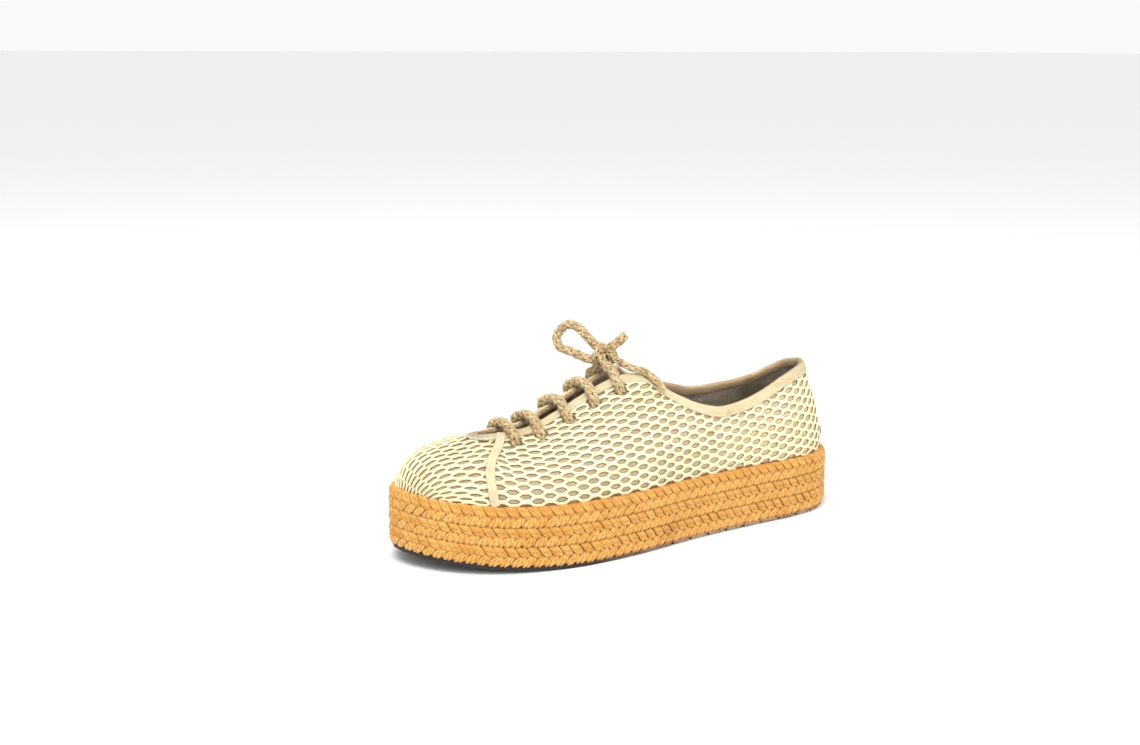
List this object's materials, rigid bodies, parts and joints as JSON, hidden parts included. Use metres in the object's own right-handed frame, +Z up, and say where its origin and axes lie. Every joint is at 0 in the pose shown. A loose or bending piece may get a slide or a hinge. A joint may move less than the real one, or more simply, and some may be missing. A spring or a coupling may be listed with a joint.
{
  "type": "lace-up espadrille",
  "caption": "Left lace-up espadrille with a cream net upper over canvas, a wound jute rope platform, a thin rubber outsole and a jute lace tied in a half bow.",
  "frame": {"origin": "middle of the sole's footprint on the floor", "axes": "+Z up, -Y towards the toe, +X towards the outer side of a left foot"},
  "size_m": [0.0968, 0.2619, 0.1099],
  "materials": {
    "outsole_rubber": "matt tan rubber",
    "jute_braid": "golden braided jute rope",
    "net_canvas": "cream hexagonal net over beige canvas",
    "insole_canvas": "plain woven canvas",
    "jute_lace": "hairy plied jute cord",
    "lining": "grey-brown woven lining",
    "binding_tape": "cream twill binding tape",
    "label_black": "plain black woven tab"
  },
  "bodies": {
    "root": {"outsole": "outsole_rubber", "jute_layer_bottom": "jute_braid", "jute_layer_middle": "jute_braid", "jute_layer_top": "jute_braid", "upper": "net_canvas", "insole": "insole_canvas", "lace": "jute_lace", "bow_loop": "jute_lace", "bow_short_end": "jute_lace", "bow_long_end": "jute_lace", "bow_knot": "jute_lace"}
  },
  "joints": []
}
